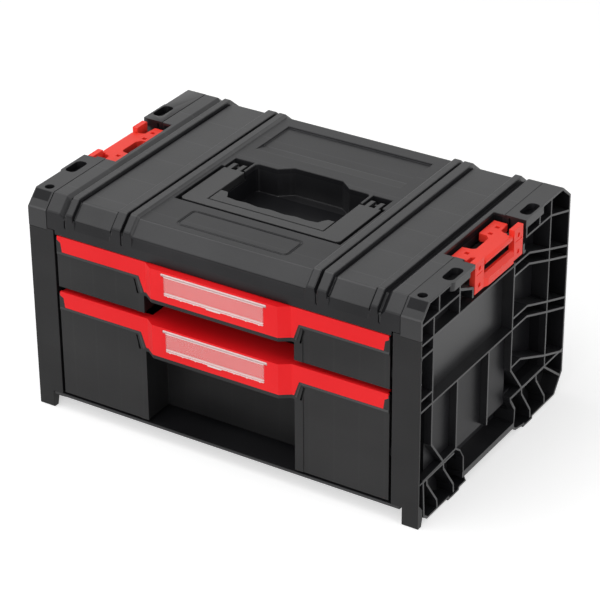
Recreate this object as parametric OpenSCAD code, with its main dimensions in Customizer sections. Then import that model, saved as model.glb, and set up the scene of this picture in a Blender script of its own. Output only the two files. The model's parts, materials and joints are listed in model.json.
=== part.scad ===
// Portable tool box with two front drawers, a folding carry handle and
// swing-out side latches. Millimetres, +Z up, front towards -Y, origin at
// the middle of the footprint on the floor.

/* [Case] */
// Width over the two side panels
case_width = 450; // [440:1:470]
// Depth from the front posts to the back
case_depth = 302; // [298:1:314]
// Height to the top of the side flanges
case_height = 244; // [242:1:250]
// Thickness of the moulded walls
wall = 2.5; // [2.2:0.1:2.8]
// Thickness of the webs on the side panels
web = 2.2; // [1.8:0.1:2.6]
// Width of the flange along the top of each side
flange_width = 22; // [21:0.5:23]
// Size of the 45 degree bevel along the top front edge
front_bevel = 15; // [13:0.5:17]
// Run of the bevel along the top back edge
back_bevel_run = 17.5; // [15:0.5:20]
// Drop of the bevel along the top back edge
back_bevel_drop = 14.5; // [12:0.5:17]
// Width of each front post
post_width = 30; // [28:0.5:31]
// Width of the feet under the front posts
foot_width = 18; // [15:0.5:19]
// Clearance of the front feet under the base
base_height = 17; // [16:0.5:18]
// Thickness of the base
base_thickness = 3; // [2.5:0.1:3.2]

/* [Lid] */
// Height of the lid's crown ribs above the flanges
crown = 1; // [0.6:0.1:1.6]
// Depth of the lid's grooves below the flanges
groove_depth = 4; // [2.5:0.1:4.2]
// Depth of the lid's middle field below the flanges
field_drop = 2; // [1.5:0.1:2.5]
// Drop of the raised pads below the flanges
pad_drop = 2.7; // [2.2:0.1:3]
// Half the width of the lid's middle field
field_half = 99; // [98.5:0.5:104]
// Depth of the lid's front apron below the flanges
apron_depth = 38.5; // [37:0.5:39.5]
// Half the width of the tray under the handle
tray_half = 67; // [64:0.5:67.5]
// Depth of the tray below the flanges
tray_depth = 33; // [28:0.5:33.5]
// Depth of the shallow panel behind the handle
panel_depth = 2.2; // [0.8:0.1:2.3]

/* [Carry handle] */
// Half the width over the handle's arms
handle_half = 92; // [90:0.5:92.5]
// Thickness of the handle
handle_thickness = 9; // [8:0.5:10]
// Width of the handle's front bar
bar_width = 12; // [10:0.5:13]
// Diameter of the handle's pins
handle_pin_d = 4; // [3:0.2:4.4]

/* [Drawers] */
// Share of the two drawer fronts' height that the lower one takes
lower_share = 0.673; // [0.63:0.001:0.7]
// Gap between the two drawer fronts
drawer_gap = 5.5; // [4:0.5:7]
// Clearance between a drawer front and each post
side_gap = 3; // [2.5:0.5:4]
// Height of the coloured band along each drawer
band_height = 17.4; // [15:0.2:18]
// Height of the raised label bump on each drawer
bump_height = 34; // [33:0.5:36]
// Distance the label bump stands out from the front
bump_out = 7.5; // [6.5:0.1:9]
// Half the width of the flat front of the bump
bump_half = 73.5; // [70:0.5:76]
// Depth of the finger recess in each drawer front
recess_depth = 35; // [28:1:38]
// Thickness of the drawer walls
tray_wall = 2; // [1.6:0.1:2.2]
// Outward travel of the drawers
travel = 230; // [180:5:235]

/* [Label windows] */
// Half the width of each label window
label_half = 57; // [52:0.5:60]
// Height of each label window below its hinge
label_height = 21.8; // [19:0.2:23]
// Distance the window stands proud of the bump
label_proud = 0.5; // [0.3:0.1:0.7]
// Diameter of the window's hinge rail
rail_d = 3.4; // [3.2:0.1:3.6]

/* [Latches] */
// Diameter of the latch pins
latch_pin_d = 3.5; // [3:0.1:3.6]
// Thickness of the claws
claw_thickness = 8; // [7:0.5:8]

/* [Fits] */
// Running clearance on the radius of pins and screws
pin_gap = 0.05; // [0.02:0.01:0.1]
// Gap between neighbouring mouldings
seam = 0.4; // [0.3:0.1:0.6]
// Play of the drawers in their runners
runner_gap = 0.3; // [0.25:0.05:0.5]

/* [Hidden] */
$fn = 48;
half_width = case_width / 2;
front_y = -(case_depth - bump_out - label_proud) / 2;
back_y = front_y + case_depth;
seam_x = half_width - flange_width;
lid_edge = seam_x - seam;
apron_z = case_height - apron_depth;
shelf_z = case_height - 18;
base_top = base_height + base_thickness;
foot_top = 54.5;
post_x = half_width - post_width;
post_top = case_height - 36;
front_half = post_x - side_gap;
lower_bottom = base_top + 2.5;
upper_top = apron_z - 0.7;
fronts_height = upper_top - lower_bottom - drawer_gap;
lower_top = lower_bottom + lower_share * fronts_height;
upper_bottom = lower_top + drawer_gap;
upper_front = upper_top - upper_bottom;
tray_x = front_half - 7.5;
wing_x = tray_x + 6;
rail_x = wing_x + runner_gap;
cell_x = half_width - 12;
low_cell_x = half_width - 8;
bay_x = half_width - 18;
arch_x = half_width - 23;
handle_top = case_height - field_drop - 0.5;
handle_z = handle_top - handle_thickness;
handle_hinge = [18, handle_top - handle_thickness / 2];
handle_front = -73;
tray_floor = case_height - tray_depth;
lever_hinge = [half_width - 3, case_height - 31];
claw_r = 3.2;
claw_top = case_height - 6.2;
claw_hinge = [half_width - 3, claw_top - claw_r];
bay_front = -48.4;
bay_back = 56;
bracket_y = 54.4;
slot_size = [12.5, 26];
slot_depth = 7.5;
slot_x = half_width - 7.5;
slots_y = [-75, 79.5];
screw_d = 3;
screw_r = screw_d / 2;
bore_r = screw_r + pin_gap;
head_r = 2.2;
screw_skin = 0.5;
latch_bore_r = latch_pin_d / 2 + pin_gap;
handle_bore_r = handle_pin_d / 2 + pin_gap;
base_screws_x = arch_x - wall - 4;
base_screws_y = [fy(96), 0, by(124)];
band_screws_x = [-62, -22, 22, 62];
runner_screws_y = [-4, by(30)];
upper_wing = upper_bottom + 16;
lower_wing = lower_bottom + 54;

black = [0.09, 0.09, 0.095];
red = [0.87, 0.1, 0.1];
steel = [0.6, 0.61, 0.63];
clear = [0.95, 0.85, 0.85, 0.5];

// Distance measured back from the front plane
function fy(d) = front_y + d;

// Distance measured forward from the back plane
function by(d) = back_y - d;

// Height measured down from the flanges
function tz(d) = case_height - d;

// A flat shape drawn in Y and Z, spread from x0 to x1
module across(x0, x1) {
    translate([x0, 0, 0])
        rotate([90, 0, 90])
            linear_extrude(x1 - x0)
                children();
}

// A flat shape drawn in X and Z, spread from y0 to y1
module along(y0, y1) {
    translate([0, y1, 0])
        rotate([90, 0, 0])
            linear_extrude(y1 - y0)
                children();
}

// A box given by its low and high corners
module block(low, high) {
    translate(low)
        cube(high - low);
}

// A round bar along Y
module bar_y(x, z, r, y0, y1) {
    translate([x, y0, z])
        rotate([-90, 0, 0])
            cylinder(r = r, h = y1 - y0);
}

// A round bar along X
module bar_x(y, z, r, x0, x1) {
    translate([x0, y, z])
        rotate([0, 90, 0])
            cylinder(r = r, h = x1 - x0);
}

// The same thing on both sides
module both() {
    children();
    mirror([1, 0, 0])
        children();
}

// A rectangle with rounded corners, centred
module rounded(w, h, r) {
    square([w - 2 * r, h], center = true);
    square([w, h - 2 * r], center = true);
    for (x = [-1, 1], y = [-1, 1])
        translate([x * (w / 2 - r), y * (h / 2 - r)])
            circle(r = r);
}

// ---------------------------------------------------------------- lid

// Cross-section of everything above the lid's surface; y = 0 is the crown
module above_lid(top) {
    g = -crown - groove_depth;
    p = -crown - pad_drop;
    f = -crown - field_drop;
    outer = seam_x;
    inner = field_half + 10;
    half = [[0, f], [field_half, f], [field_half + 2.5, 0],
        [inner, 0], [inner + 1.8, g], [inner + 3.4, g],
        [inner + 3.8, 0], [inner + 14, 0], [inner + 14.4, g],
        [inner + 16.2, g], [inner + 16.6, p],
        [outer - 34.6, p], [outer - 34.2, g], [outer - 32.6, g],
        [outer - 32.2, 0], [outer - 24.8, 0],
        [outer - 24.4, g], [outer - 21.5, g],
        [outer - 16.7, -crown], [outer + 1, -crown], [outer + 1, top]];
    polygon(concat(half, [[0, top]]));
    mirror([1, 0])
        polygon(concat(half, [[0, top]]));
}

// Side view of the lid: the front apron, two bevels and the back skirt
module lid_side(inset, low) {
    c = crown + 0.4;
    slope = atan(back_bevel_drop / back_bevel_run);
    rise = inset > 0 ? -inset : c;
    shift = rise * tan(22.5);
    back_shift = rise * tan(slope / 2);
    polygon([[fy(inset), low],
        [fy(inset), tz(front_bevel) + rise / sin(45) - max(inset, 0)],
        [fy(front_bevel) - shift, case_height + rise],
        [by(back_bevel_run) + back_shift, case_height + rise],
        [by(inset), tz(back_bevel_drop) + rise / cos(slope)
            - max(inset, 0) * tan(slope)],
        [by(inset), low]]);
}

// Everything above the lid's surface on the top and on both bevels
module lid_relief() {
    slope = atan(back_bevel_drop / back_bevel_run);
    level = case_height + crown;
    translate([0, by(back_bevel_run) + crown * tan(slope / 2) + 6, level])
        rotate([90, 0, 0])
            linear_extrude(case_depth - front_bevel - back_bevel_run + 12)
                above_lid(4);
    translate([0, fy(front_bevel) - crown * tan(22.5), level])
        rotate([135, 0, 0])
            translate([0, 0, -3])
                linear_extrude(front_bevel * 1.42 + 12)
                    above_lid(4);
    translate([0, by(back_bevel_run) + crown * tan(slope / 2), level])
        rotate([90 - slope, 0, 0])
            translate([0, 0, -norm([back_bevel_run, back_bevel_drop]) - 9])
                linear_extrude(norm([back_bevel_run, back_bevel_drop]) + 12)
                    above_lid(4);
}

// Outline of the tray under the handle
module tray_plan(grow) {
    h = tray_half + grow;
    polygon([[-h, -56 - grow], [h, -56 - grow], [h, 26 + grow],
        [h - 3, 29 + grow], [42 + grow, 29 + grow], [28 + grow, 40 + grow],
        [-28 - grow, 40 + grow], [-42 - grow, 29 + grow],
        [3 - h, 29 + grow], [-h, 26 + grow]]);
}

module lid_solids() {
    difference() {
        across(-lid_edge, lid_edge)
            lid_side(0, apron_z);
        across(3 - lid_edge, lid_edge - 3)
            lid_side(groove_depth + wall, apron_z - 1);
        block([-half_width, fy(wall), apron_z - 1],
            [half_width, back_y + 1, shelf_z]);
    }
    // Back skirt
    block([3 - lid_edge, by(wall), tz(29)],
        [lid_edge - 3, back_y, shelf_z + 1]);
    // Floor and walls round the handle and the tray
    block([-handle_half - 7, handle_front - 7, handle_z - 4],
        [handle_half + 7, 33, tz(groove_depth + 1)]);
    translate([0, 0, tray_floor - wall])
        linear_extrude(tray_depth - groove_depth - 1 + wall)
            tray_plan(wall);
    // Walls round the latch pockets
    both()
        block([lid_edge - 14.4, -47, shelf_z],
            [lid_edge, bay_back + wall, tz(groove_depth + 1)]);
}

// Side view of the scoop along the top of the apron
module scoop() {
    polygon([[front_y - 1, tz(front_bevel)], [fy(1.4), tz(front_bevel)],
        [fy(1.4), tz(front_bevel + 4)], [front_y, tz(front_bevel + 13)],
        [front_y - 1, tz(front_bevel + 13)]]);
}

module top_cover() {
    color(black)
        difference() {
            lid_solids();
            lid_relief();
            // Corners of the apron over the front posts
            both() {
                block([post_x - 1.5, front_y - 1, apron_z - 1],
                    [half_width, fy(wall) + 1, apron_z + 4.8]);
                // Ends of the grooves on the apron
                for (x = [field_half + 11.8, seam_x - 23.8])
                    block([x, front_y - 1, tz(29)],
                        [x + 1.9, fy(1.8), tz(front_bevel)]);
                // Scoop of the apron under a pad
                across(field_half + 26.6, seam_x - 34.6)
                    scoop();
                // Latch pockets
                block([lid_edge - 11.9, -44.5, shelf_z - 1],
                    [half_width, bay_back, case_height + 5]);
                // Bearings of the handle's arms
                block([handle_half - 22, 8, handle_z - 1],
                    [handle_half + 0.5, 29, case_height + 5]);
            }
            // Scoop of the apron under the field
            across(-field_half, field_half)
                scoop();
            // Recess of the handle
            block([-handle_half - 4, handle_front - 4, handle_z - 0.3],
                [handle_half + 4, 8.2, case_height + 5]);
            // Tray under the handle
            translate([0, 0, tray_floor])
                linear_extrude(tray_depth + 5)
                    tray_plan(0);
            // Shallow panel behind the handle, ramped at its front edge
            across(-86, 86)
                polygon([[56, tz(field_drop)],
                    [72, tz(field_drop + panel_depth)],
                    [120, tz(field_drop + panel_depth)],
                    [120, case_height + 5], [56, case_height + 5]]);
            // Badge plate, left bare
            translate([0, -106, tz(field_drop + 0.6)])
                linear_extrude(5)
                    rounded(128, 33, 5);
            // Bores of the handle's pins
            bar_x(handle_hinge[0], handle_hinge[1],
                handle_bore_r,
                handle_half - 24, handle_half + 6);
            bar_x(handle_hinge[0], handle_hinge[1],
                handle_bore_r,
                -handle_half - 6, 24 - handle_half);
        }
    // Badge plate's field
    color(black)
        translate([0, -106, tz(field_drop + 1)])
            linear_extrude(0.9)
                rounded(124, 29, 4);
}

// --------------------------------------------------------- side panels

// One straight web in the side view
module line(a, b) {
    d = b - a;
    translate(a)
        rotate(atan2(d[1], d[0])) {
            translate([0, -web / 2])
                square([norm(d), web]);
            circle(d = web, $fn = 24);
        }
}

// Outline of the front foot
module front_foot() {
    polygon([[fy(8), 52], [fy(11), 8], [fy(18), 3], [fy(60), 3],
        [fy(60), 0], [fy(81), 0], [fy(83), 3], [fy(96), 3],
        [fy(91), 13], [fy(90), 34], [fy(82), 47], [fy(73), 54]]);
}

// Outline of the rear foot
module rear_foot() {
    polygon([[by(118), 52], [by(116.5), 46], [by(107), 32],
        [by(107.5), 17], [by(110), 11], [by(103), 6], [by(88), 3],
        [by(85), 3], [by(85), 0], [by(65), 0], [by(65), 3],
        [by(16), 3], [back_y, 24], [back_y, 52]]);
}

// Webs along a foot's edge, taken from its outline
module foot_edge(inset) {
    difference() {
        children(0);
        translate([0, inset])
            intersection() {
                translate([inset, -0.4])
                    children(0);
                translate([-inset, -0.4])
                    children(0);
                translate([0, -2 * inset])
                    children(0);
            }
    }
}

// The net of webs that closes the cells, in the side view
module webs() {
    v1 = fy(24);
    v2 = fy(73);
    v3 = fy(136);
    v4 = by(118);
    v6 = by(42.5);
    b = by(wall);
    // Uprights
    line([fy(33.5), tz(20)], [fy(33.5), tz(2)]);
    line([v1, tz(21)], [v1, 84]);
    line([v1, 84], [fy(48.7), 51]);
    line([v2, tz(41.2)], [v2, tz(2)]);
    line([v2, tz(113.5)], [v2, 53]);
    line([v3, tz(113.5)], [v3, 46]);
    line([v4, tz(37)], [v4, 84]);
    line([v4, 84], [by(92.5), 51]);
    line([by(67), tz(20)], [by(67), tz(2)]);
    line([v6, 50], [v6, tz(2)]);
    line([by(95), tz(20)], [by(95), tz(2)]);
    // Level webs
    line([fy(wall), tz(20)], [v2, tz(20)]);
    line([fy(wall), tz(41.2)], [v4, tz(41.2)]);
    line([fy(wall), tz(54.7)], [v1, tz(54.7)]);
    line([fy(wall), tz(100.5)], [v1, tz(100.5)]);
    line([fy(wall), tz(113.5)], [v4, tz(113.5)]);
    line([fy(wall), 49.5], [fy(70), 49.5]);
    line([by(113), 50], [v6, 50]);
    // Webs that fall towards the back
    line([by(95), tz(20)], [v6, tz(20)]);
    line([v6, tz(20)], [b, tz(32)]);
    for (z = [tz(41.2), tz(53.5), 143, 131]) {
        line([v4, z], [by(87), z]);
        line([by(87), z], [v6, z - 16.5]);
        line([v6, z - 16.5], [b, z - 30.5]);
    }
    line([v4, 87], [by(98), 87.5]);
    line([by(98), 87.5], [by(46), 65]);
    line([by(46), 65], [b, 48.5]);
    line([by(44), 51], [by(4), 20]);
    // Slanting webs inside the feet
    for (y = [fy(16), fy(48.5), by(92.3), by(60.7)]) {
        line([y, 50], [y + 0.7, 43]);
        line([y + 0.7, 43], [y + 21, 14]);
        line([y + 21, 14], [y + 22, 4]);
    }
}

// A zone of the panel: its wall at depth x and the webs in front of it
module zone(x) {
    across(x - wall, x)
        intersection() {
            side_outline(1);
            children();
        }
    across(x - 0.1, half_width)
        intersection() {
            webs();
            children();
        }
}

// Side view of the panel between its bevels, drawn in by t
module side_outline(t) {
    k = 0.41 * t;
    polygon([[fy(t), -1], [fy(t), tz(front_bevel) - k],
        [fy(front_bevel) + k, tz(t)],
        [by(back_bevel_run) - k, tz(t)],
        [by(t), tz(back_bevel_drop) - k], [by(t), -1]]);
}

// The edge that runs over the top and down the back
module rim() {
    difference() {
        intersection() {
            side_outline(0);
            union() {
                translate([front_y - 1, post_top + 0.3])
                    square([case_depth + 2, case_height]);
                translate([fy(30), 24])
                    square([case_depth, case_height]);
            }
        }
        side_outline(wall);
    }
}

// Solid under a slot in the flange, standing out at the side
module slot_boss(y0, y1, out) {
    translate([half_width - 8 + out / 2, (y0 + y1) / 2,
            tz(slot_depth + 1.5)])
        linear_extrude(slot_depth + 1.5)
            rounded(16 + out, y1 - y0, 5);
}

// Bearing block of the lever's pin
module bracket(y0, y1) {
    block([cell_x - 1, y0, tz(37)], [half_width - 0.5, y1, tz(26)]);
}

module side_solids() {
    // Flange and edge
    across(seam_x, half_width)
        rim();
    // Front column, upper panel, lower panels and rear bays
    zone(cell_x)
        translate([fy(wall), 49])
            square([24 + web / 2 - wall, tz(50.5)]);
    zone(cell_x)
        translate([fy(24) - web / 2, tz(113.5) - web / 2])
            square([by(118) - fy(24) + web, 112 + web / 2]);
    zone(low_cell_x)
        translate([fy(24) - web / 2, 42.5])
            square([by(118) - fy(24) + web, tz(113.5) - 42.5 + web / 2]);
    zone(bay_x)
        translate([by(118) - web / 2, 49])
            square([118 + web / 2 - wall, tz(50.5)]);
    // Feet
    zone(bay_x)
        front_foot();
    zone(bay_x)
        rear_foot();
    across(bay_x - 1, half_width) {
        foot_edge(web)
            front_foot();
        foot_edge(web)
            rear_foot();
    }
    // Sill between the feet and the wall behind it
    across(arch_x - wall, arch_x)
        translate([fy(80), 10.5])
            square([by(105) - fy(80), 45]);
    across(arch_x - wall, half_width)
        translate([fy(88), 10.5])
            square([by(106) - fy(88), 6.5]);
    block([arch_x - wall, fy(80), 50], [low_cell_x, by(105), 55]);
    // Rib that joins the wall behind the sill to the rear foot
    block([arch_x - wall, by(107), 10.5], [bay_x + 0.5, by(103), 55]);
    // Shelf that carries the lid
    block([post_x - 3, fy(wall), shelf_z - wall],
        [cell_x, by(118), shelf_z]);
    block([post_x - 3, by(119), shelf_z - wall],
        [bay_x, by(wall), shelf_z]);
    across(seam_x, seam_x + wall)
        intersection() {
            side_outline(1);
            translate([front_y, shelf_z - 1])
                square([case_depth, 30]);
        }
    // Bosses round the flange slots and the round hole
    slot_boss(-92, bay_front + 4, 2);
    slot_boss(bay_back - 4, 97, 1);
    translate([half_width - 11.6, -125, tz(slot_depth + 1.5)])
        cylinder(d = 14, h = slot_depth);
    // Brackets of the latch
    across(cell_x - 1, half_width - 0.5)
        polygon([[fy(73), tz(17)], [-48.6, tz(27.5)], [-48.6, tz(37)],
            [-45.6, tz(37)], [-45.6, tz(26)], [fy(73), tz(14)]]);
    bracket(bracket_y, bracket_y + 3.2);
    block([bay_x - 1, bracket_y, tz(37)],
        [half_width - 0.5, bracket_y + 5.6, tz(34)]);
    // Bosses for the base screws
    for (y = base_screws_y)
        block([arch_x - wall - 8, y - 5, base_top],
            [arch_x - wall + 0.5, y + 5, base_top + 14]);
}

module side_panel() {
    difference() {
        side_solids();
        // Latch bay
        block([post_x - 4, -44.5, shelf_z],
            [half_width + 9, bay_back, tz(-5)]);
        block([cell_x, bay_front, tz(22)],
            [half_width + 9, bay_back, tz(-5)]);
        block([cell_x, -45.2, tz(38)],
            [half_width + 9, bracket_y - 0.4, tz(21)]);
        block([cell_x, -58, tz(22)], [half_width + 9, bay_back, tz(4)]);
        // Round hole near the front of the flange
        translate([half_width - 11.6, -125, tz(slot_depth)])
            cylinder(d = 10, h = slot_depth + 1);
        // Slots in the flange
        for (y = slots_y)
            translate([slot_x, y, tz(slot_depth)])
                linear_extrude(slot_depth + 1)
                    rounded(slot_size[0], slot_size[1], 5);
        // Bore of the lever's pin
        bar_y(lever_hinge[0], lever_hinge[1],
            latch_bore_r, -60, bracket_y + 4.2);
        // Bores of the base screws
        for (y = base_screws_y)
            translate([base_screws_x, y, base_top - 1])
                cylinder(r = bore_r, h = 13);
        // Bores of the runner screws
        for (y = runner_screws_y, z = [upper_wing, lower_wing])
            bar_x(y, z, bore_r, bay_x - 10,
                screw_wall(y, z) - screw_skin);
    }
}

module side_panel_right() {
    color(black)
        side_panel();
}

module side_panel_left() {
    color(black)
        mirror([1, 0, 0])
            side_panel();
}

// --------------------------------------------------------------- posts

module front_post() {
    // Face
    block([post_x, front_y, base_top], [half_width, fy(wall), post_top]);
    block([post_x, front_y, post_top - 1],
        [seam_x, fy(wall), apron_z + 4.5]);
    // Return behind the drawer's edge
    block([post_x, fy(wall), base_top], [post_x + wall, fy(22), post_top]);
    block([post_x, fy(22 - wall), base_top],
        [bay_x - wall, fy(22), foot_top]);
    block([post_x, fy(22 - wall), foot_top - 0.1],
        [cell_x - wall, fy(22), post_top]);
    // Foot
    across(half_width - foot_width, half_width)
        polygon([[front_y, 1], [fy(1), 0], [fy(7), 0], [fy(9), 8],
            [fy(9), base_top - 2], [fy(wall), base_top + 6],
            [front_y, base_top + 6]]);
}

module front_post_right() {
    color(black)
        front_post();
}

module front_post_left() {
    color(black)
        mirror([1, 0, 0])
            front_post();
}

// ------------------------------------------------------- base and back

module base_plate() {
    inner = arch_x - wall;
    color(black)
        difference() {
            union() {
                block([-inner, fy(22), base_height],
                    [inner, by(wall), base_top]);
                block([-post_x - wall, fy(5), base_height],
                    [post_x + wall, fy(23), base_top]);
                block([-half_width + foot_width + 2, front_y, base_height],
                    [half_width - foot_width - 2, fy(6), base_top]);
                // Stiffening webs under the base
                for (x = [-150, -75, 0, 75, 150])
                    block([x - 1, fy(30), base_height - 5],
                        [x + 1, by(14), base_height + 1]);
                for (y = [fy(60), fy(150), by(60)])
                    block([20 - inner, y - 1, base_height - 5],
                        [inner - 20, y + 1, base_height + 1]);
            }
            both()
                for (y = base_screws_y)
                    translate([base_screws_x, y, base_height - 1])
                        cylinder(r = bore_r, h = 9);
        }
}

module base_screws() {
    color(steel)
        both()
            for (y = base_screws_y)
                translate([base_screws_x, y, 0]) {
                    translate([0, 0, base_height])
                        cylinder(d = screw_d, h = 13);
                    translate([0, 0, base_height - 2])
                        cylinder(d = 6, h = 2);
                }
}

module back_panel() {
    x = seam_x;
    top = tz(29);
    color(black) {
        block([wall - bay_x, by(2 * wall), base_top],
            [bay_x - wall, by(wall), top]);
        // Raised frame and ribs on the outside
        difference() {
            block([-x, by(wall + 0.1), base_top], [x, back_y, top]);
            block([8 - x, by(wall + 1), base_top + 8],
                [x - 8, back_y + 1, top - 8]);
        }
        for (i = [-2:2])
            block([i * 66 - 1.5, by(wall + 0.1), base_top + 7],
                [i * 66 + 1.5, back_y, top - 7]);
        block([7 - x, by(wall + 0.1), lower_top - 2],
            [x - 7, back_y, lower_top + 2]);
    }
}

// ------------------------------------------------------------- runners

// Channel that guides a drawer's side wing; z is the wing's middle
module runner(z, front_x) {
    half = 2 + runner_gap;
    difference() {
        union() {
            along(fy(4), by(2 * wall))
                polygon([[rail_x - 5, z - half - 2.4],
                    [rail_x + 2.2, z - half - 2.4],
                    [rail_x + 2.2, z + half + 2.4],
                    [rail_x - 5, z + half + 2.4], [rail_x - 5, z + half],
                    [rail_x, z + half], [rail_x, z - half],
                    [rail_x - 5, z - half]]);
            block([rail_x + 2, fy(5), z - 4], [post_x, fy(21), z + 4]);
            block([rail_x + 2, -10, z - 4], [front_x - wall, 2, z + 4]);
            block([rail_x + 2, by(36), z - 4], [bay_x - wall, by(24), z + 4]);
        }
        // Bores of the screws and seats of their heads
        for (y = runner_screws_y) {
            bar_x(y, z, bore_r, rail_x, low_cell_x);
            bar_x(y, z, head_r + pin_gap, rail_x - 1, rail_x + 2);
        }
    }
}

module upper_runner_right() {
    color(black)
        runner(upper_wing, cell_x);
}

module upper_runner_left() {
    color(black)
        mirror([1, 0, 0])
            runner(upper_wing, cell_x);
}

module lower_runner_right() {
    color(black)
        runner(lower_wing, low_cell_x);
}

module lower_runner_left() {
    color(black)
        mirror([1, 0, 0])
            runner(lower_wing, low_cell_x);
}

// Outer face of the wall that a runner's screw ends in
function screw_wall(y, z) =
    y > 0 ? bay_x : z > lower_top ? cell_x : low_cell_x;

module runner_screws() {
    color(steel)
        both()
            for (y = runner_screws_y, z = [upper_wing, lower_wing]) {
                bar_x(y, z, head_r, rail_x + 0.2, rail_x + 2);
                bar_x(y, z, screw_r, rail_x + 1.9,
                    screw_wall(y, z) - screw_skin - 0.1);
            }
}

// ------------------------------------------------------------- drawers

// Front view of the coloured band and its bump; 0 is the band's top
module band_view(grow) {
    low = -bump_height - grow;
    half = [[0, low], [bump_half + 13 + grow * 0.7, low],
        [bump_half + 18.9 + grow, -band_height - grow],
        [front_half - 6.5, -band_height - grow],
        [front_half - 5, -7], [front_half - 1, -4.5], [front_half - 1, 0],
        [0, 0]];
    polygon(half);
    mirror([1, 0])
        polygon(half);
}

// Plan of the bump as far back as y
module bump_plan(inset, y) {
    out = front_y - bump_out + inset;
    polygon([[-bump_half - 10.5 + inset, y],
        [-bump_half - 10.5 + inset, front_y],
        [-bump_half + inset / 2, out], [bump_half - inset / 2, out],
        [bump_half + 10.5 - inset, front_y],
        [bump_half + 10.5 - inset, y]]);
}

// Tray of a drawer whose front runs from z to top; wing is the runner level
module drawer_tray(z, top, wing) {
    recess = bump_half + 13.5;
    ceiling = top - bump_height - 4.2;
    box_top = top - 3;
    difference() {
        union() {
            block([-tray_x, fy(1), z + 1], [tray_x, by(9), box_top]);
            block([-front_half, front_y, z], [front_half, fy(3.5), top - 1.8]);
            both()
                block([tray_x - 1, fy(6), wing - 2], [wing_x, by(9), wing + 2]);
            // Lip under the bump
            translate([0, 0, ceiling])
                linear_extrude(4.1)
                    bump_plan(0.4, fy(3));
            // Stops at the back
            for (x = [-120, 120])
                block([x - 10, by(10), z + 10], [x + 10, by(5.3), z + 30]);
        }
        // Inside of the tray
        difference() {
            block([tray_wall - tray_x, fy(5.5), z + 1 + tray_wall],
                [tray_x - tray_wall, by(9 + tray_wall), top + 1]);
            block([-recess - 2, fy(1), z],
                [recess + 2, fy(recess_depth + 2), ceiling + 4]);
        }
        // Finger recess in the middle of the front
        block([-recess, front_y - 1, z - 1],
            [recess, fy(recess_depth), ceiling]);
        // Seat of the coloured band
        translate([0, 0, top])
            along(front_y - 1, fy(2.6))
                band_view(0.05);
        // Plain field of the front, set back from the border
        both()
            block([recess + 9.5, front_y - 1, z - 1],
                [front_half + 1, fy(0.6), top - band_height - 3.8]);
        // Slits beside the bump
        both()
            translate([0, 0, top])
                along(front_y - 1, fy(2.4))
                    polygon([[recess + 10, -22.5], [recess + 12.2, -22.5],
                        [recess + 8.2, -37.5], [recess + 6, -37.5]]);
        // Bores of the band's screws
        for (x = band_screws_x)
            bar_y(x, top - 9, bore_r, fy(1), fy(8));
    }
}

// Coloured band with the label bump; top is its upper edge
module drawer_band(top) {
    hinge_y = front_y - bump_out - label_proud + rail_d / 2;
    hinge_z = top - 4;
    face = front_y - bump_out;
    difference() {
        union() {
            intersection() {
                translate([0, 0, top])
                    along(face - 1, fy(2.5))
                        band_view(0);
                union() {
                    translate([0, 0, top - bump_height - 1])
                        linear_extrude(bump_height + 2)
                            bump_plan(0, fy(2.5));
                    block([-front_half, front_y, top - bump_height - 1],
                        [front_half, fy(2.5), top + 1]);
                }
            }
            // Top plate and top flange
            block([-bump_half - 10, fy(2.4), top - 1.7],
                [bump_half + 10, fy(33), top]);
            block([-front_half + 3, fy(2.4), top - 1.7],
                [front_half - 3, fy(9), top]);
        }
        // Hollow behind the bump
        difference() {
            translate([0, 0, top - bump_height + 2])
                linear_extrude(bump_height - 4)
                    bump_plan(5.2, fy(3));
            for (x = band_screws_x)
                bar_y(x, top - 9, 3.2, face, fy(3));
        }
        // Pocket of the label window
        block([-label_half - 0.6, face - 1, hinge_z - label_height - 0.5],
            [label_half + 0.6, face + 1.3, hinge_z + 1]);
        block([-9, face - 1, hinge_z - label_height - 2],
            [9, face + 1.3, hinge_z]);
        // Groove and bores of the window's rail
        bar_x(hinge_y, hinge_z, rail_d / 2 + 0.3, -60.8, 60.8);
        block([-60.8, face - 1, hinge_z - 2], [60.8, hinge_y, hinge_z + 2]);
        bar_x(hinge_y, hinge_z, 1 + pin_gap, -63.3, 63.3);
        // Bores of the band's screws
        for (x = band_screws_x)
            bar_y(x, top - 9, bore_r, face + 4, fy(3));
    }
}

module band_screws(top) {
    for (x = band_screws_x) {
        bar_y(x, top - 9, screw_r, front_y - bump_out + 4.6, fy(5.6));
        bar_y(x, top - 9, 3, fy(5.5), fy(7.4));
    }
}

// Clear flap over the label, hung from its rail
module label_window(top) {
    y = front_y - bump_out - label_proud;
    hinge_z = top - 4;
    difference() {
        union() {
            bar_x(y + rail_d / 2, hinge_z, rail_d / 2, -60.3, 60.3);
            bar_x(y + rail_d / 2, hinge_z, 1, -62.8, 62.8);
            block([-label_half, y, hinge_z - label_height],
                [label_half, y + 1.4, hinge_z - 0.5]);
            // Finger tab
            block([-8, y, hinge_z - label_height - 1.2],
                [8, y + 1.2, hinge_z - label_height + 1]);
        }
        // Fine groove between the rail and the flap
        block([-61, y - 1, hinge_z - rail_d / 2 - 0.7],
            [61, y + 0.4, hinge_z - rail_d / 2 - 0.1]);
        // Ticks along the lower edge
        for (x = [-45:15:45])
            if (abs(x) > 10)
                block([x - 1, y - 1, hinge_z - label_height - 1],
                    [x + 1, y + 0.4, hinge_z - label_height + 1.2]);
    }
}

module upper_drawer_tray() {
    color(black)
        drawer_tray(upper_bottom, upper_top, upper_wing);
}

module upper_drawer_band() {
    color(red)
        drawer_band(upper_top);
}

module upper_band_screws() {
    color(steel)
        band_screws(upper_top);
}

module upper_label_window() {
    color(clear)
        label_window(upper_top);
}

module lower_drawer_tray() {
    color(black)
        drawer_tray(lower_bottom, lower_top, lower_wing);
}

module lower_drawer_band() {
    color(red)
        drawer_band(lower_top);
}

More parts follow.
